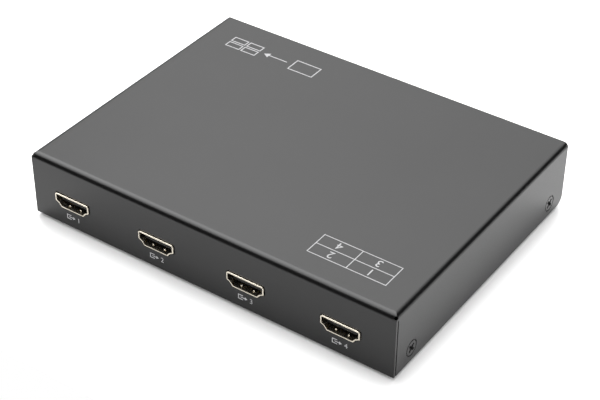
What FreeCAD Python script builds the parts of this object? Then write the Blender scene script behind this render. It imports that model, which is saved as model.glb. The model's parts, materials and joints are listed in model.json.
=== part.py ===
import FreeCAD, Part
import math
import os

# Video wall controller: a flat folded-steel box that takes one video input and drives four
# screens. Lengths are in millimetres. The box stands on z = 0 with +Z up, its output panel
# faces -Y, its control panel faces +Y, and x = y = 0 is the middle of its outer box.

V = FreeCAD.Vector

# Case, folded from steel sheet
case_width = 149.0
case_depth = 112.6
case_height = 25.5
sheet = 0.8
bend_radius = 2.3
side_bend_radius = 1.9
seam_gap = 0.2
relief_gap = 0.15
corner_gap = 0.55
corner_relief_radius = 0.6
corner_relief_inset = 0.4
corner_relief_drop = 1.1
cover_corner_radius = 3.0
tray_side_height = 9.0
tray_side_setback = 3.2
return_flange_depth = 8.0

# Feet
foot_radius = 4.5
foot_height = 1.2
foot_chamfer = 0.3
foot_inset = 11.0

# Screws, nuts and standoffs, thread M3
thread_radius = 1.5
thread_clearance = 0.05
side_screw_length = 4.0
side_screw_end_distance = 10.2
side_head_radius = 2.65
side_head_rim = 0.4
head_clearance = 0.05
head_ring_gap = 0.45
recess_width = 1.0
recess_length = 3.8
recess_centre_radius = 0.95
recess_taper = 0.5
side_recess_depth = 1.3
side_recess_turn = 45.0
nut_radius = 2.95
nut_height = 2.1
nut_shank_radius = 2.5
nut_above_bend = 0.05
press_clearance = 0.02
standoff_height = 5.0
standoff_across_flats = 5.0
standoff_shank_radius = 2.1
standoff_bore_depth = 4.6
standoff_inset_x = 5.5
standoff_inset_y = 24.0
board_screw_length = 5.5
pan_head_radius = 2.75
pan_head_height = 1.8
pan_head_rounding = 0.5
board_recess_depth = 1.0

# Main board and the film under it
board_thickness = 1.6
board_side_gap = 1.1
board_end_gap = 1.0
board_corner_radius = 1.5
board_hole_clearance = 0.15
film_thickness = 0.25
film_edge_gap = 3.0
film_hole_clearance = 0.4
slot_clearance = 0.1

# Video sockets: one size for the four outputs and the input
socket_width = 15.0
socket_height = 5.5
socket_ledge_width = 12.4
socket_floor_width = 9.9
socket_side_foot = 2.1
socket_ledge_foot = 1.5
socket_shoulder_rounding = 0.9
socket_side_rounding = 0.45
socket_ledge_rounding = 0.5
socket_floor_rounding = 0.5
socket_wall = 0.5
socket_depth = 11.0
socket_proud = 0.45
output_count = 4
output_first_distance = 17.5
output_last_distance = 20.2
panel_clearance = 0.3
mouth_rounding = 0.15
bump_radius = 0.5
bump_height = 0.45
bump_spacing = 4.9
bump_inset = 1.8
tab_width = 1.4
tab_inset_front = 3.8
tab_inset_back = 8.4
tab_below_board = 0.8
tongue_width = 11.4
tongue_thickness = 1.3
tongue_inset = 1.6
tongue_height = 2.9
insert_clearance = 0.05
insert_length = 3.6
contact_pitch = 1.0
contact_width = 0.4
contact_thickness = 0.12
upper_contact_count = 10
lower_contact_count = 9
contact_foot = 0.6
contact_setback = 0.36

# Service port
port_width = 7.6
port_height = 2.9
port_floor_width = 5.4
port_side_foot = 1.2
port_rounding = 0.4
port_wall = 0.3
port_depth = 5.6
port_tongue_width = 3.7
port_tongue_thickness = 0.6
port_tongue_inset = 1.0
port_insert_length = 1.6
port_contact_pitch = 0.65
port_contact_width = 0.3
port_contact_count = 5

# Direct-current power jack
jack_width = 9.0
jack_depth = 14.0
jack_height = 11.0
jack_axis_height = 6.4
jack_nose_radius = 4.2
jack_nose_proud = 0.4
jack_bore_radius = 3.2
jack_bore_depth = 10.5
jack_pin_radius = 1.05
jack_pin_root_radius = 0.8
jack_pin_rounding = 0.6
jack_pin_inset = 1.2
jack_leaf_width = 2.4
jack_leaf_thickness = 0.25
jack_leaf_inset = 3.5
jack_leaf_length = 5.5
tail_thickness = 0.4
tail_width = 1.2

# Push buttons and the switches behind them
button_radius = 2.5
button_proud = 0.9
button_travel = 0.35
button_hole_clearance = 0.25
button_collar_radius = 3.3
button_collar_thickness = 0.6
button_collar_gap = 0.1
button_sleeve_length = 1.1
button_rounding = 0.35
button_height = 4.2
stem_radius = 1.75
stem_in_cap = 1.2
stem_in_switch = 1.0
stem_end_room = 0.3
sleeve_to_switch = 0.25
switch_width = 6.2
switch_height = 6.4
switch_thickness = 3.6
leg_width = 0.8
leg_thickness = 1.2
leg_spread = 5.0

# Lights and the infrared eye
light_count = 6
light_pitch = 5.0
light_radius = 1.0
light_proud = 0.2
light_height = 4.2
light_hole_clearance = 0.15
light_reach = 7.0
light_bar_width = 1.2
light_bar_height = 1.0
light_bar_inset = 3.4
light_to_chip = 0.25
chip_light_width = 1.25
chip_light_depth = 2.0
chip_light_height = 0.8
window_width = 7.0
window_height = 3.6
window_rim = 1.0
window_rim_thickness = 0.8
window_clearance = 0.1
window_recess = 0.1
eye_width = 5.0
eye_depth = 2.8
eye_height = 6.2
eye_lens_radius = 1.7
eye_gap = 1.0

# Free length at each end of the control panel
panel_end_margin = 12.0

# Processor and heat sink
processor_x = -4.0
processor_side = 27.0
processor_height = 1.8
pad_side = 25.0
pad_thickness = 0.5
sink_side = 38.0
sink_base = 2.5
sink_fin_count = 10
sink_fin_thickness = 1.2
sink_fin_height = 7.5

# Chips and small parts on the board
chip_bevel = 0.15
chip_row_gap = 2.5
driver_side = 9.0
driver_height = 0.9
driver_behind_socket = 2.5
receiver_side = 12.0
receiver_height = 1.0
receiver_behind_socket = 6.0
receiver_gap = 3.0
memory_width = 9.0
memory_depth = 13.3
memory_height = 1.1
memory_spacing = 16.0
sink_to_memory = 10.0
lead_chip_body = 5.3
lead_chip_height = 1.7
lead_count = 4
lead_pitch = 1.27
lead_width = 0.45
lead_thickness = 0.2
lead_reach = 1.1
micro_side = 7.0
micro_height = 1.4
inductor_side = 10.0
inductor_height = 4.0
inductor_corner = 1.6
inductor_spacing = 13.0
inductors_from_jack = 10.0
inductor_row_gap = 5.0
capacitor_radius = 4.0
capacitor_height = 8.6
capacitor_rounding = 0.5
capacitor_base = 8.3
capacitor_base_height = 0.6
capacitor_spacing = 10.0
capacitors_from_jack = 9.0
capacitor_count = 3
small_length = 1.6
small_width = 0.8
small_height = 0.8
small_pitch = 4.0
small_count = 8
sink_to_small = 3.2
crystal_length = 11.0
crystal_width = 4.6
crystal_height = 3.6
crystal_corner = 2.0
fuse_length = 6.1
fuse_width = 2.7
fuse_height = 2.6
fuse_cap = 1.3
fuse_body_step = 0.2

# How far a cutting shape runs past the faces that it cuts
overcut = 1.0

# Planes that the pieces share
case_center_y = (socket_proud - button_proud) / 2
output_face = case_center_y - case_depth / 2
control_face = case_center_y + case_depth / 2
output_inside = output_face + sheet
control_inside = control_face - sheet
side_face = case_width / 2
side_inside = side_face - sheet
case_bottom = foot_height
case_top = case_bottom + case_height
floor_top = case_bottom + sheet
tray_side_outer = side_inside - seam_gap
tray_side_inner = tray_side_outer - sheet
board_bottom = floor_top + standoff_height
board_top = board_bottom + board_thickness
board_half_width = tray_side_inner - nut_height - board_side_gap
board_front = output_inside + board_end_gap
board_back = control_inside - board_end_gap
output_mouth = output_face - socket_proud
input_mouth = control_face + socket_proud
output_span = case_width - output_first_distance - output_last_distance
output_xs = [-side_face + output_first_distance + i * output_span / (output_count - 1)
             for i in range(output_count)]
side_screw_ys = [output_face + side_screw_end_distance, control_face - side_screw_end_distance]
side_screw_z = case_bottom + bend_radius + nut_above_bend + nut_radius
standoff_spots = [(x, y)
                  for x in (-board_half_width + standoff_inset_x, board_half_width - standoff_inset_x)
                  for y in (board_front + standoff_inset_y, board_back - standoff_inset_y)]
thread_bore = thread_radius + thread_clearance

# Places along the control panel in x: its items stand between the end margins with equal gaps
light_row_length = (light_count - 1) * light_pitch + 2 * light_radius
item_widths = [jack_width, socket_width, port_width, window_width + 2 * window_rim,
               light_row_length, 2 * button_collar_radius, 2 * button_collar_radius]
item_gap = (case_width - 2 * panel_end_margin - sum(item_widths)) / (len(item_widths) - 1)
item_xs = [-side_face + panel_end_margin + sum(item_widths[:i]) + i * item_gap + width / 2
           for i, width in enumerate(item_widths)]
(power_jack_x, input_socket_x, service_port_x, window_x, light_row_x, button_select_x,
 button_mode_x) = item_xs
light_xs = [light_row_x + (i - (light_count - 1) / 2) * light_pitch for i in range(light_count)]

# Power capacitors beside the jack, with the input receiver after the last of them
capacitor_xs = [power_jack_x + capacitors_from_jack + i * capacitor_spacing
                for i in range(capacitor_count)]
receiver_x = capacitor_xs[-1] + capacitor_base / 2 + receiver_gap + receiver_side / 2

# Rows of chips, from the sockets inwards
driver_y = output_mouth + socket_depth + driver_behind_socket + driver_side / 2
receiver_y = input_mouth - socket_depth - receiver_behind_socket - receiver_side / 2
small_row_y = receiver_y - receiver_side / 2 - chip_row_gap - small_length / 2
processor_y = small_row_y - sink_to_small - sink_side / 2


def box(x0, x1, y0, y1, z0, z1):
    """Block between two corners."""
    return Part.makeBox(x1 - x0, y1 - y0, z1 - z0, V(x0, y0, z0))


def block(x, y, z0, width, depth, height):
    """Block centred on (x, y) that stands on z0."""
    return box(x - width / 2, x + width / 2, y - depth / 2, y + depth / 2, z0, z0 + height)


def fuse(shapes):
    """One body from pieces that meet, without the seams between them."""
    joined = shapes[0]
    if len(shapes) > 1:
        joined = shapes[0].multiFuse(shapes[1:])
    return joined.removeSplitter()


def cut(shape, tools):
    """A body less its holes."""
    return shape.cut(tools).removeSplitter() if tools else shape


def in_xy(z):
    return lambda u, v: V(u, v, z)


def in_xz(y):
    return lambda u, v: V(u, y, v)


def in_yz(x):
    return lambda u, v: V(x, u, v)


def rounded_wire(corners, place):
    """Closed outline through (u, v, radius) corners, each rounded with a tangent arc."""
    starts, middles, ends = [], [], []
    count = len(corners)
    for i, (u, v, radius) in enumerate(corners):
        before = V(corners[i - 1][0] - u, corners[i - 1][1] - v, 0).normalize()
        after = V(corners[(i + 1) % count][0] - u, corners[(i + 1) % count][1] - v, 0).normalize()
        half_angle = before.getAngle(after) / 2
        setback = radius / math.tan(half_angle)
        corner = V(u, v, 0)
        bisector = (before + after).normalize()
        middle = corner + bisector * (radius / math.sin(half_angle) - radius)
        starts.append(corner + before * setback)
        middles.append(middle)
        ends.append(corner + after * setback)
    edges = []
    for i in range(count):
        a, m, b = [place(p.x, p.y) for p in (starts[i], middles[i], ends[i])]
        if corners[i][2] > 0:
            edges.append(Part.Arc(a, m, b).toShape())
        following = starts[(i + 1) % count]
        edges.append(Part.LineSegment(b, place(following.x, following.y)).toShape())
    return Part.Wire(edges)


def prism(wire, direction):
    """Solid that a closed outline sweeps along a straight line."""
    return Part.Face(wire).extrude(direction)


def plate(x0, x1, y0, y1, z0, thickness, radius):
    """Flat plate with rounded corners."""
    wire = rounded_wire([(x0, y0, radius), (x1, y0, radius), (x1, y1, radius), (x0, y1, radius)],
                        in_xy(z0))
    return prism(wire, V(0, 0, thickness))


def folded_strip(path, inward, place, sweep):
    """Sheet bent at right angles along the outside path, and swept along a straight line.

    Each path point is (u, v); inward holds the unit normal of each run that points into the
    sheet. The bends have the same outside radius."""
    outside, inside = [], []
    last = len(path) - 1
    for i, (u, v) in enumerate(path):
        corner = V(u, v, 0)
        if i in (0, last):
            normal = V(*inward[min(i, last - 1)], 0)
            outside.append([corner])
            inside.append([corner + normal * sheet])
            continue
        normal_in, normal_out = V(*inward[i - 1], 0), V(*inward[i], 0)
        centre = corner + (normal_in + normal_out) * bend_radius
        diagonal = (normal_in + normal_out).normalize()
        for side, radius in ((outside, bend_radius), (inside, bend_radius - sheet)):
            side.append([centre - normal_in * radius, centre - diagonal * radius,
                         centre - normal_out * radius])
    edges = []

    def run(side):
        previous = None
        for stop in side:
            if previous is not None:
                edges.append(Part.LineSegment(place(previous.x, previous.y),
                                              place(stop[0].x, stop[0].y)).toShape())
            if len(stop) == 3:
                edges.append(Part.Arc(*[place(p.x, p.y) for p in stop]).toShape())
            previous = stop[-1]
        return previous

    far = run(outside)
    back = [stop[::-1] for stop in inside[::-1]]
    edges.append(Part.LineSegment(place(far.x, far.y), place(back[0][0].x, back[0][0].y)).toShape())
    near = run(back)
    edges.append(Part.LineSegment(place(near.x, near.y), place(*path[0])).toShape())
    return prism(Part.Wire(edges), sweep)


def cross_recess(length, width, depth):
    """Cross-shaped driver recess that goes down from z = 0, narrower at its bottom."""
    arms = []
    for along, across in ((length, width), (width, length)):
        top = Part.makePolygon([V(-along / 2, -across / 2, 0), V(along / 2, -across / 2, 0),
                                V(along / 2, across / 2, 0), V(-along / 2, across / 2, 0),
                                V(-along / 2, -across / 2, 0)])
        low = top.copy()
        low.scale(recess_taper)
        low.translate(V(0, 0, -depth))
        arms.append(Part.makeLoft([top, low], True, True))
    centre = Part.makeCone(recess_centre_radius, recess_centre_radius * recess_taper, depth,
                           V(0, 0, 0), V(0, 0, -1))
    return arms[0].multiFuse([arms[1], centre])


def video_outline(shrink, y):
    """Mouth of a video socket: square shoulders above, stepped in to a narrower floor."""
    half = socket_width / 2
    ledge = socket_ledge_width / 2
    floor = socket_floor_width / 2
    right = [(half, socket_height, socket_shoulder_rounding),
             (half, socket_side_foot, socket_side_rounding),
             (ledge, socket_ledge_foot, socket_ledge_rounding),
             (floor, 0, socket_floor_rounding)]
    left = [(-u, v, radius) for u, v, radius in right[::-1]]
    wire = rounded_wire(right + left, in_xz(y))
    return wire.makeOffset2D(-shrink) if shrink else wire


def port_outline(shrink, y):
    """Mouth of the service port."""
    half = port_width / 2
    floor = port_floor_width / 2
    right = [(half, port_height), (half, port_side_foot), (floor, 0)]
    left = [(-u, v) for u, v in right[::-1]]
    wire = rounded_wire([(u, v, port_rounding) for u, v in right + left], in_xz(y))
    return wire.makeOffset2D(-shrink) if shrink else wire


def placed(shape, x, mouth_y, faces_back):
    """Moves a connector that was built facing -Y at the origin to its place on the board."""
    moved = shape.copy()
    if faces_back:
        moved.rotate(V(0, 0, 0), V(0, 0, 1), 180)
    moved.translate(V(x, mouth_y, board_top))
    return moved


def contact(x, strip_z, length_from, tail_at, width):
    """Strip along the tongue, a tail behind the connector and a foot on the board."""
    strip = block(x, (length_from + tail_at) / 2, strip_z, width, tail_at - length_from,
                  contact_thickness)
    tail = block(x, tail_at + contact_thickness / 2, 0, width, contact_thickness,
                 strip_z + contact_thickness)
    foot = block(x, tail_at + contact_thickness + contact_foot / 2, 0, width, contact_foot,
                 contact_thickness)
    return fuse([strip, tail, foot])


def contact_row(count, pitch, strip_z, length_from, tail_at, width):
    return [contact((i - (count - 1) / 2) * pitch, strip_z, length_from, tail_at, width)
            for i in range(count)]


def insert_with_slots(outline, depth, tongue, length, contacts):
    """Moulded block at the back of a connector with its tongue, less the contacts' slots."""
    back = prism(outline(depth - length), V(0, length, 0))
    body = fuse([back, tongue])
    slots = []
    for piece in contacts:
        b = piece.BoundBox
        slots.append(box(b.XMin - press_clearance, b.XMax + press_clearance,
                         depth - length - press_clearance, depth + press_clearance,
                         b.ZMax - contact_thickness - press_clearance, b.ZMax + press_clearance))
    return cut(body, slots)


def solder_tabs():
    """Four flat tabs in the plane of a video socket's side walls, down through the board."""
    tabs = []
    for side in (-1, 1):
        x = side * (socket_width - socket_wall) / 2
        for y in (tab_inset_front, tab_inset_back):
            top = (socket_side_foot + socket_height) / 2
            low = -board_thickness - tab_below_board
            tabs.append(box(x - socket_wall / 2, x + socket_wall / 2, y, y + tab_width, low, top))
    return tabs


def video_socket():
    """Shell, moulded insert and contacts of one video socket, facing -Y at the origin."""
    shell = prism(video_outline(0, 0), V(0, socket_depth, 0))
    mouth = [edge for edge in shell.Edges if edge.BoundBox.YMax < socket_wall / 2]
    shell = shell.makeFillet(mouth_rounding, mouth)
    shell = shell.cut(prism(video_outline(socket_wall, -overcut),
                            V(0, socket_depth + 2 * overcut, 0)))
    ball_radius = (bump_radius ** 2 + bump_height ** 2) / (2 * bump_height)
    bumps = []
    for side in (-1, 1):
        x = side * bump_spacing / 2
        low_ball = Part.makeSphere(ball_radius, V(x, bump_inset, socket_wall + bump_height
                                                  - ball_radius))
        above_wall = block(x, bump_inset, socket_wall / 2, 2 * ball_radius, 2 * ball_radius,
                           socket_wall / 2 + bump_height)
        bumps.append(low_ball.common(above_wall))
    shell = fuse([shell] + bumps + solder_tabs())

    upper_z = tongue_height + tongue_thickness / 2
    lower_z = tongue_height - tongue_thickness / 2 - contact_thickness
    strip_from = tongue_inset + contact_setback
    tail_at = socket_depth + contact_thickness
    contacts = contact_row(upper_contact_count, contact_pitch, upper_z, strip_from, tail_at,
                           contact_width)
    contacts += contact_row(lower_contact_count, contact_pitch, lower_z, strip_from, tail_at,
                            contact_width)
    tongue = box(-tongue_width / 2, tongue_width / 2, tongue_inset, socket_depth - insert_length / 2,
                 tongue_height - tongue_thickness / 2, tongue_height + tongue_thickness / 2)
    insert = insert_with_slots(lambda y: video_outline(socket_wall + insert_clearance, y),
                               socket_depth, tongue, insert_length, contacts)
    return shell, insert, Part.makeCompound(contacts)


def service_port():
    """Shell, moulded insert and contacts of the service port, facing -Y at the origin."""
    shell = prism(port_outline(0, 0), V(0, port_depth, 0))
    shell = shell.cut(prism(port_outline(port_wall, -overcut),
                            V(0, port_depth + 2 * overcut, 0)))
    tongue_low = port_height / 2
    contacts = contact_row(port_contact_count, port_contact_pitch, tongue_low - contact_thickness,
                           port_tongue_inset + contact_setback,
                           port_depth + contact_thickness, port_contact_width)
    tongue = box(-port_tongue_width / 2, port_tongue_width / 2, port_tongue_inset,
                 port_depth - port_insert_length / 2, tongue_low, tongue_low + port_tongue_thickness)
    insert = insert_with_slots(lambda y: port_outline(port_wall + insert_clearance, y),
                               port_depth, tongue, port_insert_length, contacts)
    return shell, insert, Part.makeCompound(contacts)


def power_jack():
    """Body, centre pin and spring leaf of the power jack, facing -Y at the origin."""
    panel_reach = jack_nose_proud + sheet + panel_clearance
    nose = Part.makeCylinder(jack_nose_radius, panel_reach, V(0, 0, jack_axis_height), V(0, 1, 0))
    body = block(0, panel_reach + jack_depth / 2, 0, jack_width, jack_depth, jack_height)
    bore = Part.makeCylinder(jack_bore_radius, jack_bore_depth, V(0, 0, jack_axis_height), V(0, 1, 0))
    back = panel_reach + jack_depth
    pin_hole = Part.makeCylinder(jack_pin_root_radius + press_clearance, back,
                                 V(0, 0, jack_axis_height), V(0, 1, 0))
    leaf_low = (jack_axis_height - math.sqrt(jack_bore_radius ** 2 - (jack_leaf_width / 2) ** 2)
                + press_clearance)
    leaf_end = jack_leaf_inset + jack_leaf_length
    leaf_slot = block(0, leaf_end - jack_leaf_thickness / 2, 0, jack_leaf_width + 2 * press_clearance,
                      jack_leaf_thickness + 2 * press_clearance, leaf_low + jack_leaf_thickness)
    housing = cut(fuse([nose, body]), [bore, pin_hole, leaf_slot])

    pin = Part.makeCylinder(jack_pin_radius, jack_bore_depth - jack_pin_inset,
                            V(0, jack_pin_inset, jack_axis_height), V(0, 1, 0))
    tip = [edge for edge in pin.Edges if edge.BoundBox.YMax < jack_pin_inset + jack_pin_radius / 2]
    pin = pin.makeFillet(jack_pin_rounding, tip)
    root = Part.makeCylinder(jack_pin_root_radius, back - jack_bore_depth,
                             V(0, jack_bore_depth, jack_axis_height), V(0, 1, 0))
    tail = block(0, back + tail_thickness / 2, 0, tail_width, tail_thickness,
                 jack_axis_height + jack_pin_radius)
    leaf = box(-jack_leaf_width / 2, jack_leaf_width / 2, jack_leaf_inset, leaf_end,
               leaf_low, leaf_low + jack_leaf_thickness)
    leaf_tail = block(0, leaf_end - jack_leaf_thickness / 2, 0, jack_leaf_width,
                      jack_leaf_thickness, leaf_low)
    return housing, fuse([pin, root, tail]), fuse([leaf, leaf_tail])


def side_screw_spots():
    """Start point and inward direction of each side screw, on the face of its flange."""
    return [(V(side * side_face, y, side_screw_z), V(-side, 0, 0))
            for side in (-1, 1) for y in side_screw_ys]


def countersink_radius(depth):
    """Radius of a side screw's conical seat at a depth below the face of its side."""
    return side_head_radius + head_clearance + side_head_rim - depth


def countersinks():
    """Holes in the cover's sides for the side screws: a ring gap round the head's rim over a
    conical seat."""
    holes = []
    for spot, inward in side_screw_spots():
        ring = Part.makeCylinder(side_head_radius + head_ring_gap, side_head_rim, spot, inward)
        seat = Part.makeCone(countersink_radius(0), countersink_radius(sheet), sheet, spot, inward)
        holes += [ring, seat]
    return holes


def cover_form(inset, low, back):
    """Filled form under the cover's sheet: its top has bends along the output edge and both
    sides, which meet in a mitre at each corner."""
    top, front, half_width = case_top - inset, output_face + inset, side_face - inset
    side_radius = side_bend_radius - inset
    along_x = rounded_wire([(front, low, 0), (back, low, 0), (back, top, 0),
                            (front, top, bend_radius - inset)], in_yz(-half_width))
    along_y = rounded_wire([(-half_width, low, 0), (half_width, low, 0),
                            (half_width, top, side_radius), (-half_width, top, side_radius)],
                           in_xz(front))
    return prism(along_x, V(2 * half_width, 0, 0)).common(prism(along_y, V(0, back - front, 0)))


def top_cover():
    """Top, output panel and sides in one folded sheet."""
    body = cover_form(0, case_bottom, control_face).cut(
        cover_form(sheet, case_bottom - overcut, control_face + overcut))
    bend_low = case_top - bend_radius - relief_gap
    holes = countersinks()
    for side in (-1, 1):
        low, high = sorted((side * side_inside, side * side_face))
        holes.append(box(low, high, output_inside, output_inside + corner_gap, case_bottom, bend_low))
        outward = V(side, -1, 1)
        on_ridge = V(side * (side_face - corner_relief_inset), output_face + corner_relief_inset,
                     case_top - corner_relief_drop)
        holes.append(Part.makeCylinder(corner_relief_radius, 2 * bend_radius,
                                       on_ridge - outward.normalize() * bend_radius, outward))
        corner_z = case_bottom + cover_corner_radius
        corner_y = control_face - cover_corner_radius
        holes.append(box(low, high, corner_y, control_face, case_bottom, corner_z).cut(
            Part.makeCylinder(cover_corner_radius, sheet, V(low, corner_y, corner_z), V(1, 0, 0))))
    for x in output_xs:
        hole = prism(video_outline(-panel_clearance, 0), V(0, 3 * sheet, 0))
        hole.translate(V(x, output_face - sheet, board_top))
        holes.append(hole)
    return cut(body, holes)


def control_cuts():
    """Holes in the control panel for its connectors, lights, window and buttons."""
    through = V(0, 2 * sheet + bend_radius, 0)
    start = control_inside - sheet
    cuts = []
    for outline, x in ((video_outline, input_socket_x), (port_outline, service_port_x)):
        hole = prism(outline(-panel_clearance, 0), through)
        hole.rotate(V(0, 0, 0), V(0, 0, 1), 180)
        hole.translate(V(x, start + through.y, board_top))
        cuts.append(hole)
    cuts.append(Part.makeCylinder(jack_nose_radius + panel_clearance / 2, through.y,
                                  V(power_jack_x, start, board_top + jack_axis_height), V(0, 1, 0)))
    for x in (button_mode_x, button_select_x):
        cuts.append(Part.makeCylinder(button_radius + button_hole_clearance, through.y,
                                      V(x, start, board_top + button_height), V(0, 1, 0)))
    for x in light_xs:
        cuts.append(Part.makeCylinder(light_radius + light_hole_clearance, through.y,
                                      V(x, start, board_top + light_height), V(0, 1, 0)))
    cuts.append(window_opening(window_clearance, start, through.y))
    return cuts


def window_opening(grow, start, length):
    """Block the size of the window's clear area, grown on every side."""
    return block(window_x, start + length / 2, board_top + light_height - window_height / 2 - grow,
                 window_width + 2 * grow, length, window_height + 2 * grow)


def panel_corners(panel_top):
    """What the control panel's upper corners leave free for the bends of the cover's sides."""
    radius = side_bend_radius - sheet - seam_gap
    reach = return_flange_depth + sheet
    corners = []
    for side in (-1, 1):
        x = side * (tray_side_outer - radius)
        low, high = sorted((x, side * tray_side_outer))
        corner = box(low, high, control_face - reach, control_face, panel_top - radius, panel_top)
        corners.append(corner.cut(Part.makeCylinder(
            radius, reach, V(x, control_face - reach, panel_top - radius), V(0, 1, 0))))
    return corners


def base_tray():
    """Floor, control panel with its return flange, and low sides, in one folded sheet."""
    panel_top = case_top - sheet - seam_gap
    floor_start = output_inside + seam_gap
    main = folded_strip([(floor_start, case_bottom), (control_face, case_bottom),
                         (control_face, panel_top), (control_face - return_flange_depth, panel_top)],
                        [(0, 1), (-1, 0), (0, -1)], in_yz(-tray_side_outer),
                        V(2 * tray_side_outer, 0, 0))
    side_end = control_face - tray_side_setback
    trims = []
    flanges = []
    for side in (-1, 1):
        inner, outer = sorted((side * (tray_side_outer - bend_radius), side * tray_side_outer))
        trims.append(box(inner, outer, floor_start, side_end + relief_gap, case_bottom,
                         case_bottom + 2 * sheet))
        flanges.append(folded_strip([(side * (tray_side_outer - 2 * bend_radius), case_bottom),
                                     (side * tray_side_outer, case_bottom),
                                     (side * tray_side_outer, case_bottom + tray_side_height)],
                                    [(0, 1), (-side, 0)], in_xz(floor_start),
                                    V(0, side_end - floor_start, 0)))
    body = fuse([cut(main, trims + panel_corners(panel_top))] + flanges)
    holes = [Part.makeCylinder(nut_shank_radius + press_clearance, 2 * sheet + seam_gap,
                               spot + inward * sheet, inward)
             for spot, inward in side_screw_spots()]
    holes += [Part.makeCylinder(standoff_shank_radius + press_clearance, 2 * sheet,
                                V(x, y, case_bottom - sheet / 2)) for x, y in standoff_spots]
    return cut(body, holes + control_cuts())


def side_screws():
    """Countersunk screws that hold the cover to the tray."""
    screws = []
    for spot, inward in side_screw_spots():
        rim = Part.makeCylinder(side_head_radius, side_head_rim)
        cone = Part.makeCone(side_head_radius, thread_radius, side_head_radius - thread_radius,
                             V(0, 0, side_head_rim))
        shank = Part.makeCylinder(thread_radius, side_screw_length)
        recess = cross_recess(recess_length, recess_width, side_recess_depth)
        recess.rotate(V(0, 0, 0), V(1, 0, 0), 180)
        screw = cut(fuse([rim, cone, shank]), [recess])
        screw.rotate(V(0, 0, 0), V(0, 0, 1), side_recess_turn)
        screw.Placement = FreeCAD.Placement(spot, FreeCAD.Rotation(V(0, 0, 1), inward)).multiply(
            screw.Placement)
        screws.append(screw)
    return Part.makeCompound(screws)


def press_nuts():
    """Nuts pressed into the tray's sides from the inside."""
    nuts = []
    lead_in = countersink_radius(sheet + seam_gap)
    for spot, inward in side_screw_spots():
        face = spot + inward * (sheet + seam_gap)
        shank = Part.makeCylinder(nut_shank_radius, sheet, face, inward)
        body = Part.makeCylinder(nut_radius, nut_height, face + inward * sheet, inward)
        bore = Part.makeCylinder(thread_bore, sheet + nut_height, face, inward)
        cone = Part.makeCone(lead_in, thread_bore, lead_in - thread_bore, face, inward)
        nuts.append(cut(fuse([shank, body]), [bore, cone]))
    return Part.makeCompound(nuts)


def foot(x, y):
    """Rubber foot stuck under the tray."""
    disc = Part.makeCylinder(foot_radius, foot_height, V(x, y, 0))
    rim = [edge for edge in disc.Edges if edge.BoundBox.ZMax < foot_height / 2]
    return disc.makeChamfer(foot_chamfer, rim)


def board_standoffs():
    """Threaded hexagon pillars pressed into the floor."""
    pillars = []
    corner_radius = standoff_across_flats / 2 / math.cos(math.pi / 6)
    for x, y in standoff_spots:
        corners = [V(x + corner_radius * math.cos(i * math.pi / 3),
                     y + corner_radius * math.sin(i * math.pi / 3), floor_top) for i in range(7)]
        body = prism(Part.makePolygon(corners), V(0, 0, standoff_height))
        shank = Part.makeCylinder(standoff_shank_radius, sheet, V(x, y, case_bottom))
        bore = Part.makeCylinder(thread_bore, standoff_bore_depth,
                                 V(x, y, board_bottom - standoff_bore_depth))
        pillars.append(cut(fuse([body, shank]), [bore]))
    return Part.makeCompound(pillars)


def board_screws():
    """Pan-head screws that hold the board to its standoffs."""
    screws = []
    for x, y in standoff_spots:
        head = Part.makeCylinder(pan_head_radius, pan_head_height, V(x, y, board_top))
        rim = [edge for edge in head.Edges if edge.BoundBox.ZMin > board_top + pan_head_height / 2]
        head = head.makeFillet(pan_head_rounding, rim)
        shank = Part.makeCylinder(thread_radius, board_screw_length,
                                  V(x, y, board_top - board_screw_length))
        recess = cross_recess(recess_length, recess_width, board_recess_depth)
        recess.translate(V(x, y, board_top + pan_head_height))
        screws.append(cut(fuse([head, shank]), [recess]))
    return Part.makeCompound(screws)


def insulating_film():
    """Plastic film between the floor and the board."""
    edge = tray_side_inner - film_edge_gap
    film = plate(-edge, edge, output_inside + film_edge_gap, control_inside - film_edge_gap,
                 floor_top, film_thickness, board_corner_radius)
    corner_radius = standoff_across_flats / 2 / math.cos(math.pi / 6)
    holes = [Part.makeCylinder(corner_radius + film_hole_clearance, film_thickness,
                               V(x, y, floor_top)) for x, y in standoff_spots]
    return cut(film, holes)


def switch_legs(x, grow):
    """Two legs of a push switch, down through the board."""
    low = board_bottom - tab_below_board
    return [block(x + side * leg_spread / 2, switch_front() - switch_thickness / 2, low - grow,
                  leg_width + 2 * grow, leg_thickness + 2 * grow, board_top - low + 2 * grow)
            for side in (-1, 1)]


def main_board():
    """Circuit board with its screw holes and the slots for tabs and legs."""
    board = plate(-board_half_width, board_half_width, board_front, board_back, board_bottom,
                  board_thickness, board_corner_radius)
    holes = [Part.makeCylinder(thread_radius + board_hole_clearance, board_thickness,
                               V(x, y, board_bottom)) for x, y in standoff_spots]
    sockets = [(x, output_mouth, False) for x in output_xs] + [(input_socket_x, input_mouth, True)]
    for x, mouth, faces_back in sockets:
        for tab in solder_tabs():
            b = tab.BoundBox
            slot = box(b.XMin - slot_clearance, b.XMax + slot_clearance, b.YMin - slot_clearance,
                       b.YMax + slot_clearance, -board_thickness, 0)
            holes.append(placed(slot, x, mouth, faces_back))
    for x in (button_mode_x, button_select_x):
        holes += switch_legs(x, slot_clearance)
    return cut(board, holes)


def sleeve_end():
    """Inner end of a button's sleeve, in y."""
    return (control_inside - button_collar_gap - button_collar_thickness
            - button_sleeve_length)


def switch_front():
    """Face of the push switches, in y, far enough back for a full press."""
    return sleeve_end() - button_travel - sleeve_to_switch


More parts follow.
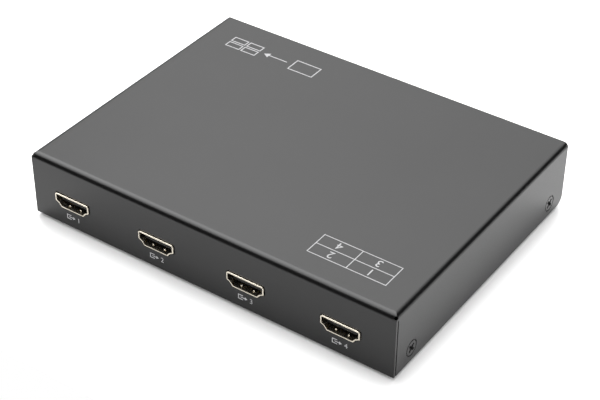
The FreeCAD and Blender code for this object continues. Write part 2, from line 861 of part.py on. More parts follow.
def button(x):
    """Push button cap: the part that is pressed, a collar behind the panel and a sleeve."""
    z = board_top + button_height
    front = control_face + button_proud
    inward = V(0, -1, 0)
    cap = Part.makeCylinder(button_radius, front - sleeve_end(), V(x, front, z), inward)
    rim = [edge for edge in cap.Edges if edge.BoundBox.YMin > front - button_rounding]
    cap = cap.makeFillet(button_rounding, rim)
    collar = Part.makeCylinder(button_collar_radius, button_collar_thickness,
                               V(x, control_inside - button_collar_gap, z), inward)
    bore = Part.makeCylinder(stem_radius + press_clearance, stem_in_cap + press_clearance,
                             V(x, sleeve_end(), z), V(0, 1, 0))
    return cut(fuse([cap, collar]), [bore])


def switch_stem(x):
    """Stem of a push switch, from inside its button to inside its body."""
    start = sleeve_end() + stem_in_cap
    end = switch_front() - stem_in_switch
    return Part.makeCylinder(stem_radius, start - end, V(x, end, board_top + button_height),
                             V(0, 1, 0))


def switch_body(x):
    """Body of a push switch that stands on the board, with the bore that its stem runs in."""
    front = switch_front()
    body = block(x, front - switch_thickness / 2, board_top, switch_width, switch_thickness,
                 switch_height)
    depth = stem_in_switch + button_travel + stem_end_room
    bore = Part.makeCylinder(stem_radius + thread_clearance, depth,
                             V(x, front, board_top + button_height), V(0, -1, 0))
    return cut(fuse([body] + switch_legs(x, 0)), [bore])


def light_chips():
    """Small lights on the board under the ends of the light pipes."""
    y = control_face - light_reach + light_radius
    return Part.makeCompound([block(x, y, board_top, chip_light_width, chip_light_depth,
                                    chip_light_height) for x in light_xs])


def light_pipes():
    """Clear moulding that carries the lights to the control panel."""
    axis_z = board_top + light_height
    back = control_face - light_reach
    front = control_face + light_proud
    foot_z = board_top + chip_light_height + light_to_chip
    pieces = []
    for x in light_xs:
        pieces.append(Part.makeCylinder(light_radius, front - back, V(x, back, axis_z), V(0, 1, 0)))
        pieces.append(Part.makeCylinder(light_radius, axis_z - foot_z, V(x, back + light_radius, foot_z)))
    bar_y = control_face - light_bar_inset
    pieces.append(box(light_xs[0] - light_radius, light_xs[-1] + light_radius,
                      bar_y - light_bar_width / 2, bar_y + light_bar_width / 2,
                      axis_z - light_bar_height / 2, axis_z + light_bar_height / 2))
    for x in (light_xs[0], light_xs[-1]):
        pieces.append(block(x, bar_y, board_top, light_bar_width, light_bar_width, light_height))
    return fuse(pieces)


def infrared_window():
    """Smoked window with a rim behind the control panel."""
    clear = window_opening(0, control_inside, sheet - window_recess)
    rim = block(window_x, control_inside - window_rim_thickness / 2,
                board_top + light_height - window_height / 2 - window_rim,
                window_width + 2 * window_rim, window_rim_thickness,
                window_height + 2 * window_rim)
    return fuse([clear, rim])


def infrared_eye():
    """Receiver for the remote control, behind the window."""
    front = control_inside - window_rim_thickness - eye_gap - eye_lens_radius
    z = board_top + light_height
    body = block(window_x, front - eye_depth / 2, board_top, eye_width, eye_depth, eye_height)
    lens = Part.makeSphere(eye_lens_radius, V(window_x, front, z))
    return fuse([body, lens])


def chip(x, y, width, depth, height):
    """Flat chip package with bevelled top edges."""
    body = block(x, y, board_top, width, depth, height)
    rim = [edge for edge in body.Edges if edge.BoundBox.ZMin > board_top + height / 2]
    return body.makeChamfer(chip_bevel, rim)


def leaded_chip(x, y, side, height):
    """Chip package with a row of leads down each of two sides."""
    pieces = [block(x, y, board_top + lead_thickness / 2, side, side, height)]
    reach = side / 2 + lead_reach
    for i in range(lead_count):
        lead_y = y + (i - (lead_count - 1) / 2) * lead_pitch
        pieces.append(block(x, lead_y, board_top + height / 2, side + lead_reach, lead_width,
                            lead_thickness))
        for way in (-1, 1):
            knee = x + way * (side / 2 + lead_reach / 2)
            pieces.append(block(knee, lead_y, board_top, lead_thickness, lead_width,
                                height / 2 + lead_thickness))
            low, high = sorted((knee, x + way * reach))
            pieces.append(box(low, high, lead_y - lead_width / 2, lead_y + lead_width / 2,
                              board_top, board_top + lead_thickness))
    return fuse(pieces)


def heat_sink():
    """Finned heat sink over the processor."""
    low = board_top + processor_height + pad_thickness
    pieces = [block(processor_x, processor_y, low, sink_side, sink_side, sink_base)]
    gap = (sink_side - sink_fin_thickness) / (sink_fin_count - 1)
    for i in range(sink_fin_count):
        x = processor_x - sink_side / 2 + sink_fin_thickness / 2 + i * gap
        pieces.append(block(x, processor_y, low + sink_base, sink_fin_thickness, sink_side,
                            sink_fin_height))
    return fuse(pieces)


def power_inductors():
    """Two shielded coils of the power supply."""
    coils = []
    for i in range(2):
        half = inductor_side / 2
        x = power_jack_x + inductors_from_jack + (i - 0.5) * inductor_spacing
        y = board_back - jack_depth - capacitor_base - inductor_row_gap - half
        coils.append(plate(x - half, x + half, y - half, y + half, board_top, inductor_height,
                           inductor_corner))
    return Part.makeCompound(coils)


def power_capacitors():
    """Electrolytic cans on their square bases."""
    cans = []
    for x in capacitor_xs:
        y = board_back - jack_depth - capacitor_base / 2
        base = block(x, y, board_top, capacitor_base, capacitor_base, capacitor_base_height)
        can = Part.makeCylinder(capacitor_radius, capacitor_height, V(x, y, board_top))
        rim = [edge for edge in can.Edges if edge.BoundBox.ZMin > board_top + capacitor_height / 2]
        cans.append(fuse([base, can.makeFillet(capacitor_rounding, rim)]))
    return Part.makeCompound(cans)


def small_capacitors():
    """Ceramic capacitors in a row along each side of the heat sink."""
    rows = []
    for way in (-1, 1):
        for i in range(small_count):
            along = (i - (small_count - 1) / 2) * small_pitch
            out = sink_side / 2 + sink_to_small
            rows.append(block(processor_x + way * out, processor_y + along, board_top,
                              small_length, small_width, small_height))
            rows.append(block(processor_x + along, processor_y + way * out, board_top,
                              small_width, small_length, small_height))
    return Part.makeCompound(rows)


def memory_chips():
    """Two memory chips beside the heat sink."""
    x = processor_x + sink_side / 2 + sink_to_memory + memory_width / 2
    return Part.makeCompound([chip(x, processor_y + (i - 0.5) * memory_spacing, memory_width,
                                   memory_depth, memory_height) for i in range(2)])


def fuse_link(x, y):
    """Surface fuse with a metal cap at each end."""
    body = block(x, y, board_top, fuse_length - fuse_cap, fuse_width - 2 * fuse_body_step,
                 fuse_height - fuse_body_step)
    caps = [block(x + way * (fuse_length - fuse_cap) / 2, y, board_top, fuse_cap, fuse_width,
                  fuse_height) for way in (-1, 1)]
    return fuse([body] + caps)


def crystal(x, y):
    """Metal crystal can with rounded ends."""
    half_length, half_width = crystal_length / 2, crystal_width / 2
    return plate(x - half_length, x + half_length, y - half_width, y + half_width, board_top,
                 crystal_height, crystal_corner)


nodes = {
    "top_cover": top_cover(),
    "base_tray": base_tray(),
    "side_screws": side_screws(),
    "press_nuts": press_nuts(),
    "board_standoffs": board_standoffs(),
    "board_screws": board_screws(),
    "insulating_film": insulating_film(),
    "main_board": main_board(),
}

foot_spots = [(x, y) for x in (-side_face + foot_inset, side_face - foot_inset)
              for y in (output_face + foot_inset, control_face - foot_inset)]
for number, (x, y) in enumerate(foot_spots, start=1):
    nodes["foot_%d" % number] = foot(x, y)

connectors = [("output_socket_%d" % number, video_socket, x, output_mouth, False)
              for number, x in enumerate(output_xs, start=1)]
connectors.append(("input_socket", video_socket, input_socket_x, input_mouth, True))
connectors.append(("service_port", service_port, service_port_x, input_mouth, True))
for name, make, x, mouth, faces_back in connectors:
    for piece, shape in zip(("shell", "insert", "contacts"), make()):
        nodes["%s_%s" % (name, piece)] = placed(shape, x, mouth, faces_back)

for piece, shape in zip(("body", "pin", "spring_leaf"), power_jack()):
    nodes["power_jack_" + piece] = placed(shape, power_jack_x, control_face + jack_nose_proud, True)

for name, x in (("mode", button_mode_x), ("select", button_select_x)):
    nodes[name + "_button"] = button(x)
    nodes[name + "_switch_stem"] = switch_stem(x)
    nodes[name + "_switch_body"] = switch_body(x)

nodes["light_chips"] = light_chips()
nodes["light_pipes"] = light_pipes()
nodes["infrared_window"] = infrared_window()
nodes["infrared_eye"] = infrared_eye()

nodes["main_processor"] = chip(processor_x, processor_y, processor_side, processor_side,
                               processor_height)
nodes["thermal_pad"] = block(processor_x, processor_y, board_top + processor_height, pad_side,
                             pad_side, pad_thickness)
nodes["heat_sink"] = heat_sink()
for number, x in enumerate(output_xs, start=1):
    nodes["output_driver_%d" % number] = chip(x, driver_y, driver_side, driver_side, driver_height)
nodes["input_receiver"] = chip(receiver_x, receiver_y, receiver_side, receiver_side,
                               receiver_height)
nodes["memory_chips"] = memory_chips()
nodes["flash_chip"] = leaded_chip(light_xs[-1], receiver_y, lead_chip_body, lead_chip_height)
nodes["microcontroller"] = chip(light_xs[1], receiver_y, micro_side, micro_side, micro_height)
nodes["power_inductors"] = power_inductors()
nodes["power_capacitors"] = power_capacitors()
nodes["small_capacitors"] = small_capacitors()
nodes["timing_crystal"] = crystal(button_select_x, processor_y + sink_side / 2)
nodes["power_fuse"] = fuse_link(power_jack_x, processor_y)

os.makedirs("parts", exist_ok=True)
for name, shape in nodes.items():
    shape.exportStep("parts/%s.step" % name)
    box_size = shape.BoundBox
    print("%-26s solids %2d valid %s volume %9.2f  z %6.2f to %6.2f" % (
        name, len(shape.Solids), shape.isValid(), shape.Volume, box_size.ZMin, box_size.ZMax))
print("nodes", len(nodes))
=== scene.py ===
import json
import math

import bmesh
import bpy
from mathutils import Matrix, Vector


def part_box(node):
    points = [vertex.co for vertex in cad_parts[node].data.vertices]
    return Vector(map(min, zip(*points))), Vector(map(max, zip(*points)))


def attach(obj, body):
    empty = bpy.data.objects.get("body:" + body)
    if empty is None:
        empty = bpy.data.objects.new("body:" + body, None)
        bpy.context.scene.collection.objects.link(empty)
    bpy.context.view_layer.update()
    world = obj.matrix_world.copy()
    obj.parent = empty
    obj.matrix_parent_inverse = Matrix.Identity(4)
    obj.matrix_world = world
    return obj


MM = 0.001

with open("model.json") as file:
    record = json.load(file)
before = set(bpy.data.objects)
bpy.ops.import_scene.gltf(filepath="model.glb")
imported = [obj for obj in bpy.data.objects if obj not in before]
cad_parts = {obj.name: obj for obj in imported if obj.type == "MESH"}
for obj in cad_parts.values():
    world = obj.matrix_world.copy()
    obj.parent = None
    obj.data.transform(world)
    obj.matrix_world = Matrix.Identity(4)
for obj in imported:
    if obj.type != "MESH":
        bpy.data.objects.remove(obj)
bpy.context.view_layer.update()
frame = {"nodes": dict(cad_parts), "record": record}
nodes = frame["nodes"]
CASE_BODY = "controller"

# Planes of the case, read from the CAD nodes
cover_low, cover_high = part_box("top_cover")
TOP = cover_high.z
OUTPUT_FACE = cover_low.y
CONTROL_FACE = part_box("base_tray")[1].y


# Materials

def new_material(name):
    """Node material, its node tree and its surface shader."""
    material = bpy.data.materials.new(name)
    material.use_nodes = True
    tree = material.node_tree
    return material, tree, tree.nodes["Principled BSDF"]


def noise(tree, scale, detail=3.0, stretch=(1, 1, 1)):
    """Noise in the object's own coordinates, with its scale in features per metre."""
    where = tree.nodes.new("ShaderNodeTexCoord")
    mapping = tree.nodes.new("ShaderNodeMapping")
    mapping.inputs["Scale"].default_value = stretch
    tree.links.new(where.outputs["Object"], mapping.inputs["Vector"])
    texture = tree.nodes.new("ShaderNodeTexNoise")
    texture.inputs["Scale"].default_value = scale
    texture.inputs["Detail"].default_value = detail
    tree.links.new(mapping.outputs["Vector"], texture.inputs["Vector"])
    return texture.outputs["Fac"]


def spread(tree, source, low, high, start=0.3, end=0.7):
    """Number that runs from low to high as the source runs from start to end."""
    node = tree.nodes.new("ShaderNodeMapRange")
    node.inputs["From Min"].default_value = start
    node.inputs["From Max"].default_value = end
    node.inputs["To Min"].default_value = low
    node.inputs["To Max"].default_value = high
    tree.links.new(source, node.inputs["Value"])
    return node.outputs["Result"]


def blend(tree, share, first, second):
    """Colour between two others, each given as a tuple or as another node's output."""
    node = tree.nodes.new("ShaderNodeMix")
    node.data_type = "RGBA"
    tree.links.new(share, node.inputs["Factor"])
    for socket, colour in (("A", first), ("B", second)):
        if isinstance(colour, tuple):
            node.inputs[socket].default_value = (*colour, 1)
        else:
            tree.links.new(colour, node.inputs[socket])
    return node.outputs["Result"]


def soft_edges(tree, radius):
    """Normal that looks rounded over the edges, and a number that is 1 on them and 0 elsewhere."""
    bevel = tree.nodes.new("ShaderNodeBevel")
    bevel.samples = 6
    bevel.inputs["Radius"].default_value = radius
    geometry = tree.nodes.new("ShaderNodeNewGeometry")
    agreement = tree.nodes.new("ShaderNodeVectorMath")
    agreement.operation = "DOT_PRODUCT"
    tree.links.new(bevel.outputs["Normal"], agreement.inputs[0])
    tree.links.new(geometry.outputs["Normal"], agreement.inputs[1])
    return bevel.outputs["Normal"], spread(tree, agreement.outputs["Value"], 1.0, 0.0, 0.90, 0.99)


def surface(name, low, high, roughness, metallic=0.0, ior=1.5, grain=2500, tone=60,
            bump_strength=0.2, bump_depth=0.01 * MM, edge=0.0, wear_and_highlight=None, stretch=(1, 1, 1)):
    """Solid finish: a tone that drifts from low to high, uneven gloss, a fine grain, and edges
    that are softened over a radius and lightened towards a colour of their own: partly wear,
    partly a painted highlight along the edges."""
    material, tree, shader = new_material(name)
    shader.inputs["Metallic"].default_value = metallic
    shader.inputs["IOR"].default_value = ior
    colour = blend(tree, spread(tree, noise(tree, tone), 0.0, 1.0), low, high)
    fine = noise(tree, grain, detail=2.0, stretch=stretch)
    relief = tree.nodes.new("ShaderNodeBump")
    relief.inputs["Strength"].default_value = bump_strength
    relief.inputs["Distance"].default_value = bump_depth
    tree.links.new(fine, relief.inputs["Height"])
    if edge:
        normal, rim = soft_edges(tree, edge)
        tree.links.new(normal, relief.inputs["Normal"])
        # On the edges the colour lightens towards a colour of its own: partly wear, partly a
        # painted highlight along the edges.
        if wear_and_highlight:
            colour = blend(tree, rim, colour, wear_and_highlight)
    tree.links.new(colour, shader.inputs["Base Color"])
    tree.links.new(spread(tree, fine, *roughness), shader.inputs["Roughness"])
    tree.links.new(relief.outputs["Normal"], shader.inputs["Normal"])
    return material


def clear(name, colour, roughness, transmission, ior=1.58, grain=1500):
    """Clear or tinted moulded plastic, a little cloudy."""
    material, tree, shader = new_material(name)
    shader.inputs["Transmission Weight"].default_value = transmission
    shader.inputs["IOR"].default_value = ior
    cloud = noise(tree, grain, detail=1.0)
    thick = tuple(channel * 0.92 for channel in colour)
    tree.links.new(blend(tree, spread(tree, cloud, 0.0, 1.0), thick, colour),
                   shader.inputs["Base Color"])
    tree.links.new(spread(tree, cloud, roughness, roughness * 1.3), shader.inputs["Roughness"])
    return material


def grey(value):
    """Grey with a trace of blue."""
    return (value, value, value * 1.02)


# Where a finish is given an edge colour, its edges lighten towards it: partly wear, partly a
# painted highlight. On the case paint it stands for the light line along the sheet's edges.
MATERIALS = {
    "case_paint": surface("case_paint", grey(0.0028), grey(0.0038), (0.28, 0.32), ior=1.36,
                          grain=2600, tone=35, bump_strength=0.16, edge=0.22 * MM,
                          wear_and_highlight=grey(0.02)),
    "black_screw": surface("black_screw", grey(0.004), grey(0.006), (0.26, 0.34), ior=1.38,
                           grain=6000, tone=800, edge=0.06 * MM, wear_and_highlight=grey(0.02)),
    "zinc_steel": surface("zinc_steel", (0.55, 0.55, 0.52), (0.66, 0.65, 0.62), (0.25, 0.4),
                          metallic=1.0, grain=5000, tone=400, edge=0.08 * MM),
    "plated_shell": surface("plated_shell", (0.49, 0.45, 0.38), (0.57, 0.525, 0.445), (0.21, 0.30),
                            metallic=1.0, grain=4000, tone=300, bump_strength=0.1),
    "gold_contacts": surface("gold_contacts", (0.80, 0.55, 0.22), (0.90, 0.66, 0.32),
                             (0.15, 0.25), metallic=1.0, grain=8000, tone=900),
    "socket_plastic": surface("socket_plastic", grey(0.003), grey(0.005), (0.5, 0.65), ior=1.35,
                              grain=7000, tone=500),
    "foot_rubber": surface("foot_rubber", grey(0.012), grey(0.02), (0.7, 0.85), grain=3500,
                           tone=300, bump_strength=0.4, bump_depth=0.03 * MM, edge=0.2 * MM,
                           wear_and_highlight=grey(0.04)),
    "circuit_board": surface("circuit_board", (0.004, 0.05, 0.02), (0.008, 0.075, 0.03),
                             (0.25, 0.4), grain=1500, tone=180),
    "clear_film": surface("clear_film", (0.55, 0.55, 0.52), (0.62, 0.62, 0.6), (0.2, 0.35),
                          grain=900, tone=60),
    "button_plastic": surface("button_plastic", grey(0.02), grey(0.028), (0.42, 0.55),
                              grain=5000, tone=700, bump_strength=0.35, bump_depth=0.015 * MM),
    "switch_plastic": surface("switch_plastic", grey(0.02), grey(0.03), (0.4, 0.55), grain=4000,
                              tone=500),
    "light_chip": surface("light_chip", (0.8, 0.78, 0.6), (0.9, 0.88, 0.7), (0.15, 0.3),
                          grain=6000, tone=900),
    "chip_resin": surface("chip_resin", grey(0.015), grey(0.025), (0.45, 0.6), grain=5000,
                          tone=300, bump_strength=0.3),
    "thermal_pad": surface("thermal_pad", (0.28, 0.33, 0.42), (0.34, 0.39, 0.48), (0.7, 0.85),
                           grain=2500, tone=300),
    "heat_sink_alloy": surface("heat_sink_alloy", grey(0.012), grey(0.02), (0.35, 0.5),
                               metallic=0.6, grain=3000, tone=200, edge=0.1 * MM,
                               wear_and_highlight=grey(0.1), stretch=(1, 0.05, 1)),
    "ferrite": surface("ferrite", grey(0.05), grey(0.075), (0.5, 0.7), grain=4500, tone=600,
                       bump_strength=0.4, bump_depth=0.02 * MM),
    "can_alloy": surface("can_alloy", grey(0.62), grey(0.7), (0.18, 0.3), metallic=1.0,
                         grain=3000, tone=300),
    "ceramic": surface("ceramic", (0.22, 0.14, 0.07), (0.3, 0.2, 0.1), (0.5, 0.6), grain=6000,
                       tone=900),
    "fuse_ceramic": surface("fuse_ceramic", (0.7, 0.69, 0.65), (0.78, 0.77, 0.73), (0.4, 0.55),
                            grain=5000, tone=500),
    "clear_plastic": clear("clear_plastic", (0.58, 0.60, 0.58), 0.28, 0.4),
    "smoked_plastic": clear("smoked_plastic", (0.012, 0.003, 0.004), 0.06, 0.3, ior=1.38),
}
panel_ink = surface("panel_ink", grey(0.42), grey(0.47), (0.45, 0.6), ior=1.4, grain=9000,
                    tone=1500, bump_strength=0.15)
top_ink = surface("top_ink", grey(0.21), grey(0.24), (0.45, 0.6), ior=1.4, grain=9000,
                  tone=1500, bump_strength=0.15)

for part in frame["record"]["subparts"]:
    mesh = nodes[part["node"]].data
    mesh.materials.clear()
    mesh.materials.append(MATERIALS[part["material_slot"]])


# Printed marks: flat shapes in millimetres, each a list of (x, y) corners

INK_THICKNESS = 0.02 * MM
# A numeral's height as a share of its font's size, and half the width of an arrow's head as a
# share of the head's length
CAP_SHARE = 0.73
HEAD_SPREAD = 0.62


def bar(x0, y0, x1, y1):
    return [(x0, y0), (x1, y0), (x1, y1), (x0, y1)]


def frame_bars(x0, y0, x1, y1, line):
    """Four bars round a rectangle, just inside its edge."""
    return [bar(x0, y0, x1, y0 + line), bar(x0, y1 - line, x1, y1),
            bar(x0, y0 + line, x0 + line, y1 - line), bar(x1 - line, y0 + line, x1, y1 - line)]


def ring(x, y, radius, line, start=0.0, end=360.0, steps=40):
    """Round band from one angle to another, as short pieces that share their corners."""
    def at(i, r):
        turn = math.radians(start + (end - start) * i / steps)
        return (x + r * math.cos(turn), y + r * math.sin(turn))
    return [[at(i, radius - line), at(i, radius), at(i + 1, radius), at(i + 1, radius - line)]
            for i in range(steps)]


def disc(x, y, radius, steps=32):
    turns = [2 * math.pi * i / steps for i in range(steps)]
    return [[(x + radius * math.cos(turn), y + radius * math.sin(turn)) for turn in turns]]


def arrow(x0, x1, y, line, head):
    """Arrow along x from x0 to x1 with a solid head."""
    way = 1 if x1 > x0 else -1
    neck = x1 - way * head
    low, high = sorted((x0, neck))
    return [bar(low, y - line / 2, high, y + line / 2),
            [(neck, y - head * HEAD_SPREAD), (x1, y), (neck, y + head * HEAD_SPREAD)]]


def moved(shapes, x, y):
    return [[(u + x, v + y) for u, v in corners] for corners in shapes]


def screen_grid(width, height, gap, line, filled=()):
    """Two by two screens as outlines, with the listed ones filled."""
    shapes = []
    cell_width = (width - gap) / 2
    cell_height = (height - gap) / 2
    for i in range(4):
        x0 = -width / 2 + (i % 2) * (cell_width + gap)
        y1 = height / 2 - (i // 2) * (cell_height + gap)
        corners = (x0, y1 - cell_height, x0 + cell_width, y1)
        shapes += [bar(*corners)] if i in filled else frame_bars(*corners, line)
    return shapes


def shape_mesh(shapes):
    """Thin solid print of flat shapes."""
    form = bmesh.new()
    for corners in shapes:
        form.faces.new([form.verts.new((u * MM, v * MM, 0)) for u, v in corners])
    bmesh.ops.remove_doubles(form, verts=form.verts, dist=0.0005 * MM)
    lifted = bmesh.ops.extrude_face_region(form, geom=form.faces[:])["geom"]
    for vert in lifted:
        if isinstance(vert, bmesh.types.BMVert):
            vert.co.z += INK_THICKNESS
    bmesh.ops.recalc_face_normals(form, faces=form.faces)
    mesh = bpy.data.meshes.new("print")
    form.to_mesh(mesh)
    form.free()
    return mesh


def numeral_mesh(text, height):
    """Plain numerals of the given height as a thin solid print, centred on the origin."""
    curve = bpy.data.curves.new("numeral", "FONT")
    curve.body = text
    curve.size = height * MM / CAP_SHARE
    curve.extrude = INK_THICKNESS / 2
    curve.resolution_u = 6
    holder = bpy.data.objects.new("numeral", curve)
    bpy.context.scene.collection.objects.link(holder)
    bpy.context.view_layer.update()
    ready = holder.evaluated_get(bpy.context.evaluated_depsgraph_get())
    mesh = bpy.data.meshes.new_from_object(ready)
    bpy.data.objects.remove(holder)
    xs = [vert.co.x for vert in mesh.vertices]
    ys = [vert.co.y for vert in mesh.vertices]
    centre = Vector(((min(xs) + max(xs)) / 2, (min(ys) + max(ys)) / 2, -INK_THICKNESS / 2))
    mesh.transform(Matrix.Translation(-centre))
    return mesh


def on_face(out, up, x, y, z):
    """Placement whose local X and Y lie in a face of the case and whose local Z points out."""
    out, up = Vector(out), Vector(up)
    turn = Matrix((up.cross(out), up, out)).transposed().to_4x4()
    return Matrix.Translation((x, y, z)) @ turn


def add_mark(name, place, shapes, numerals=(), ink=panel_ink):
    """Printed mark on the case, from flat shapes and (text, height, x, y) numerals."""
    form = bmesh.new()
    pieces = [(shape_mesh(shapes), Matrix.Identity(4))]
    pieces += [(numeral_mesh(text, height), Matrix.Translation((x * MM, y * MM, 0)))
               for text, height, x, y in numerals]
    for mesh, shift in pieces:
        mesh.transform(place @ shift)
        form.from_mesh(mesh)
        bpy.data.meshes.remove(mesh)
    mesh = bpy.data.meshes.new(name)
    form.to_mesh(mesh)
    form.free()
    mesh.materials.append(ink)
    mark = bpy.data.objects.new(name, mesh)
    bpy.context.scene.collection.objects.link(mark)
    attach(mark, CASE_BODY)


def centre_of(node):
    low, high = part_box(node)
    return (low + high) / 2


PANEL_UP = (0, 0, 1)

# Under each output socket: the sign for an output and the socket's number
LABEL_HEIGHT = 2.0
LABEL_LINE = 0.32
LABEL_BELOW_RIM = 8.7
SIGN_SHIFT = -1.2
NUMERAL_SHIFT = 2.2
OUTPUT_OUT = (0, -1, 0)


def output_sign():
    """Box that is open on its right, with an arrow that leaves it."""
    half = LABEL_HEIGHT / 2
    sides = [bar(-1.9, -half, -1.9 + LABEL_LINE, half),
             bar(-1.9 + LABEL_LINE, half - LABEL_LINE, 0.1, half),
             bar(-1.9 + LABEL_LINE, -half, 0.1, -half + LABEL_LINE)]
    return sides + arrow(-0.9, 1.9, 0, LABEL_LINE, 1.05)


for number in range(1, 5):
    socket = "output_socket_%d" % number
    label_x = centre_of(socket + "_contacts").x
    label_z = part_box(socket + "_shell")[1].z - LABEL_BELOW_RIM * MM
    add_mark("output_label_%d" % number,
             on_face(OUTPUT_OUT, PANEL_UP, label_x, OUTPUT_FACE, label_z),
             moved(output_sign(), SIGN_SHIFT, 0), [(str(number), LABEL_HEIGHT, NUMERAL_SHIFT, 0)])

# On the top, near its output edge: the plan of the wall as four numbered screens. Both marks on
# the top are upright to someone at the control panel's side.
TOP_OUT, TOP_UP = (0, 0, 1), (0, -1, 0)
PLAN_X, PLAN_Y = 48.9, -40.9
PLAN_WIDTH, PLAN_DEPTH, PLAN_LINE = 30.0, 10.5, 0.31
PLAN_NUMERAL = 3.4
plan = frame_bars(-PLAN_WIDTH / 2, -PLAN_DEPTH / 2, PLAN_WIDTH / 2, PLAN_DEPTH / 2, PLAN_LINE)
inner_x = PLAN_WIDTH / 2 - PLAN_LINE
inner_y = PLAN_DEPTH / 2 - PLAN_LINE
half_line = PLAN_LINE / 2
plan += [bar(-half_line, -inner_y, half_line, inner_y),
         bar(-inner_x, -half_line, -half_line, half_line),
         bar(half_line, -half_line, inner_x, half_line)]
plan_numerals = []
for i in range(4):
    column = i % 2 * 2 - 1
    row = 1 - i // 2 * 2
    plan_numerals.append((str(i + 1), PLAN_NUMERAL, PLAN_WIDTH / 4 * column, PLAN_DEPTH / 4 * row))
add_mark("wall_plan_mark", on_face(TOP_OUT, TOP_UP, PLAN_X * MM, PLAN_Y * MM, TOP), plan,
         plan_numerals, ink=top_ink)

# On the top, near its far corner: one picture goes in and a wall of four screens comes out
SIGN_X, SIGN_Y = -42.0, 42.0
SIGN_HEIGHT, SIGN_LINE, SIGN_GAP = 7.0, 0.45, 0.6
SCREEN_WIDTH, SCREEN_X = 11.0, -14.0
WALL_WIDTH, WALL_X = 13.75, 13.5
ARROW_START, ARROW_END, ARROW_HEAD = -6.0, 4.5, 2.4
one_screen = frame_bars(-SCREEN_WIDTH / 2, -SIGN_HEIGHT / 2,
                        SCREEN_WIDTH / 2, SIGN_HEIGHT / 2, SIGN_LINE)
four_screens = screen_grid(WALL_WIDTH, SIGN_HEIGHT, SIGN_GAP, SIGN_LINE)
add_mark("one_to_four_sign", on_face(TOP_OUT, TOP_UP, SIGN_X * MM, SIGN_Y * MM, TOP),
         moved(one_screen, SCREEN_X, 0)
         + arrow(ARROW_START, ARROW_END, 0, SIGN_LINE, ARROW_HEAD)
         + moved(four_screens, WALL_X, 0), ink=top_ink)


# Signs on the control panel, above the items that they belong to
CONTROL_OUT = (0, 1, 0)
CONTROL_SIGN_Z = TOP - 5.2 * MM
CONTROL_LINE = 0.32


def panel_mark(name, node, shapes, numerals=(), z=CONTROL_SIGN_Z):
    place = on_face(CONTROL_OUT, PANEL_UP, centre_of(node).x, CONTROL_FACE, z)
    add_mark(name, place, shapes, numerals)


def power_sign():
    """Direct current: a long bar over three short ones, and a cell's two signs round a dot."""
    dashes = [bar(-4.4 + 1.1 * i, -0.75, -3.6 + 1.1 * i, -0.45) for i in range(3)]
    plug = ring(1.6, 0, 0.95, 0.28, 35, 325) + disc(1.6, 0, 0.38)
    minus = [bar(-0.9, -0.15, -0.1, 0.15)]
    plus = [bar(3.5, -0.15, 4.5, 0.15), bar(3.85, 0.15, 4.15, 0.5), bar(3.85, -0.5, 4.15, -0.15)]
    lines = [bar(-0.1, -0.1, 0.65, 0.1), bar(2.0, -0.1, 3.5, 0.1)]
    return [bar(-4.4, 0.0, -1.4, 0.3)] + dashes + plug + minus + plus + lines


def input_sign():
    """Box that is open on its left, with an arrow that enters it."""
    inner = 1.9 - CONTROL_LINE
    sides = [bar(inner, -1, 1.9, 1),
             bar(-0.1, 1 - CONTROL_LINE, inner, 1),
             bar(-0.1, -1, inner, -1 + CONTROL_LINE)]
    return sides + arrow(-1.9, 0.9, 0, CONTROL_LINE, 1.05)


def service_sign():
    """Open ring round a dot."""
    return ring(0, 0, 1.0, CONTROL_LINE, 120, 420) + disc(0, 0, 0.36)


def remote_sign():
    """Waves that arrive at a dot."""
    waves = [ring(-1.1, 0, radius, CONTROL_LINE, -45, 45, 12) for radius in (1.3, 2.2)]
    return disc(-1.1, 0, 0.36) + waves[0] + waves[1]


def select_sign():
    """Arrow that turns round on itself."""
    head = [(-1.1, 0.89), (0.02, 0.22), (0.02, 1.56)]
    return ring(0, 0, 1.0, CONTROL_LINE, 125, 400) + [head]


panel_mark("power_sign", "power_jack_pin", power_sign())
panel_mark("input_sign", "input_socket_insert", input_sign())
panel_mark("service_sign", "service_port_insert", service_sign())
panel_mark("remote_sign", "infrared_window", remote_sign())
panel_mark("mode_sign", "mode_button", screen_grid(3.2, 2.2, 0.36, 0.26, filled=(0,)))
panel_mark("select_sign", "select_button", select_sign())

# Lights from the outside of the box: power, input, and the four outputs by number
light_low, light_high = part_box("light_pipes")
LIGHT_COUNT = 6
LIGHT_RADIUS = 1.0
LIGHT_SIGN_ABOVE = 3.4
light_span = (light_high.x - light_low.x) / MM - 2 * LIGHT_RADIUS
light_step = light_span / (LIGHT_COUNT - 1)
lights_x = [-light_span / 2 + i * light_step for i in range(LIGHT_COUNT)]
standby = ring(0, 0, 0.85, 0.26, 125, 415) + [bar(-0.13, 0.1, 0.13, 1.05)]
incoming = arrow(-0.9, 0.9, 0, 0.28, 0.95)
panel_mark("light_signs", "light_pipes",
           moved(standby, lights_x[0], 0) + moved(incoming, lights_x[1], 0),
           [(str(i + 1), 1.6, lights_x[i + 2], 0) for i in range(4)],
           z=light_high.z + LIGHT_SIGN_ABOVE * MM)


# Floor, lights and camera

FLOOR_TONE = 0.85
FLOOR_GLOW = 0.04
FLOOR_REACH = 400 * MM
FLOOR_IN_FRONT = 60 * MM


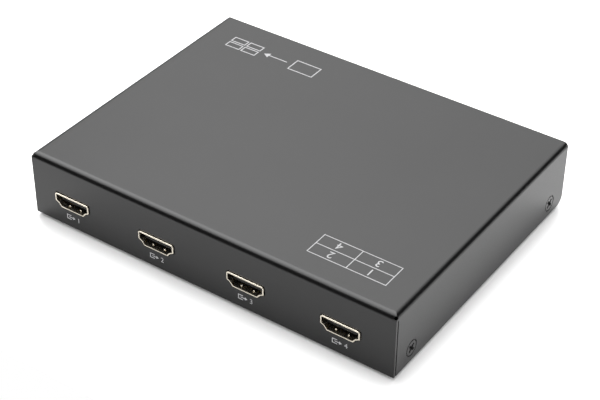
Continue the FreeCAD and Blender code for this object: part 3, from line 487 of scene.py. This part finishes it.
def make_floor():
    """White floor that the feet stand on. It ends close in front of the output panel, so the
    bend over that panel mirrors the dark room beyond it."""
    front = OUTPUT_FACE - FLOOR_IN_FRONT
    corners = bar(-FLOOR_REACH, front, FLOOR_REACH, FLOOR_REACH)
    form = bmesh.new()
    form.faces.new([form.verts.new((x, y, 0)) for x, y in corners])
    mesh = bpy.data.meshes.new("floor")
    form.to_mesh(mesh)
    form.free()
    floor = bpy.data.objects.new("floor", mesh)
    bpy.context.scene.collection.objects.link(floor)
    material, tree, shader = new_material("floor_white")
    shader.inputs["Base Color"].default_value = (FLOOR_TONE, FLOOR_TONE, FLOOR_TONE, 1)
    shader.inputs["Roughness"].default_value = 0.9
    shader.inputs["Specular IOR Level"].default_value = 0.0
    shader.inputs["Emission Color"].default_value = (1, 1, 1, 1)
    shader.inputs["Emission Strength"].default_value = FLOOR_GLOW
    mesh.materials.append(material)


def add_light(name, kind):
    lamp = bpy.data.lights.new(name, kind)
    holder = bpy.data.objects.new(name, lamp)
    bpy.context.scene.collection.objects.link(holder)
    return lamp, holder


def panel_light(name, width, height, radiance):
    """Rectangular light whose face has the given radiance."""
    lamp, holder = add_light(name, "AREA")
    lamp.shape = "RECTANGLE"
    lamp.size = width
    lamp.size_y = height
    lamp.energy = radiance * math.pi * width * height
    return holder


def mirrored_ceiling(name, x0, x1, y0, y1, z, radiance):
    """Level panel over the object that shows only in its gloss."""
    holder = panel_light(name, x1 - x0, y1 - y0, radiance)
    holder.location = ((x0 + x1) / 2, (y0 + y1) / 2, z)
    holder.visible_diffuse = False
    holder.visible_camera = False


def hidden_sun(name, energy, angle, back_tilt, left_tilt):
    """Wide distant light that shows in no gloss, leaned towards the back and the left."""
    sun, holder = add_light(name, "SUN")
    sun.energy = energy
    sun.angle = math.radians(angle)
    holder.visible_glossy = False
    holder.rotation_euler = (math.radians(-back_tilt), math.radians(-left_tilt), 0)


make_floor()

# The room is dark wherever the paint mirrors it, and white behind the object
ROOM_DARK = (0.012, 0.012, 0.013, 1)
BACKDROP_WHITE = (1, 1, 1, 1)

sky = bpy.data.worlds.new("studio")
sky.use_nodes = True
bpy.context.scene.world = sky
backdrop = sky.node_tree.nodes["Background"]
path = sky.node_tree.nodes.new("ShaderNodeLightPath")
seen = sky.node_tree.nodes.new("ShaderNodeMix")
seen.data_type = "RGBA"
seen.inputs["A"].default_value = ROOM_DARK
seen.inputs["B"].default_value = BACKDROP_WHITE
sky.node_tree.links.new(path.outputs["Is Camera Ray"], seen.inputs["Factor"])
sky.node_tree.links.new(seen.outputs["Result"], backdrop.inputs["Color"])

# Soft light from all round and two wide suns from behind: they light the floor and the print
SKY_SIZE, SKY_HEIGHT, SKY_RADIANCE = 8.0, 1.5, 1.18
soft_sky = panel_light("soft_sky", SKY_SIZE, SKY_SIZE, SKY_RADIANCE)
soft_sky.location = (0, 0, SKY_HEIGHT)
soft_sky.visible_glossy = False
hidden_sun("high_sun", 2.0, 25, 9, 7)
hidden_sun("back_sun", 4.0, 50, 38, 34)

# What the paint mirrors, in metres: the first two panels show in the top, the third along its
# output edge and the last in the side. The dark between them shows in the bends.
mirrored_ceiling("back_ceiling", -1.9, 0.55, -0.50, 2.8, 1.0, 2.48)
mirrored_ceiling("middle_ceiling", -1.0, 0.05, -0.50, 1.15, 0.99, 2.05)
mirrored_ceiling("edge_ceiling", -1.2, 0.0, -1.00, 0.40, 0.98, 4.6)
mirrored_ceiling("front_ceiling", 0.1, 1.4, -1.8, -0.45, 1.2, 3.7)

# Camera, placed from the photograph's vanishing directions and corners
CAMERA_PLACE = Vector((259.8, -377.8, 350.1)) * MM
CAMERA_AZIMUTH = math.radians(34.57)
CAMERA_ELEVATION = math.radians(37.07)
CAMERA_ROLL = math.radians(0.50)
FOCAL_PIXELS = 1616.3
FRAME_WIDTH = 600

camera_data = bpy.data.cameras.new("camera")
camera_data.sensor_width = 36
camera_data.lens = FOCAL_PIXELS / FRAME_WIDTH * camera_data.sensor_width
camera_data.dof.use_dof = False
camera_data.clip_start = 0.01
camera_data.clip_end = 50
camera = bpy.data.objects.new("camera", camera_data)
bpy.context.scene.collection.objects.link(camera)
look = Vector((-math.sin(CAMERA_AZIMUTH) * math.cos(CAMERA_ELEVATION),
               math.cos(CAMERA_AZIMUTH) * math.cos(CAMERA_ELEVATION),
               -math.sin(CAMERA_ELEVATION)))
camera.location = CAMERA_PLACE
camera.rotation_mode = "QUATERNION"
camera.rotation_quaternion = look.to_track_quat("-Z", "Y") @ Matrix.Rotation(
    CAMERA_ROLL, 3, "Z").to_quaternion()
bpy.context.scene.camera = camera
bpy.context.scene.view_settings.view_transform = "Standard"
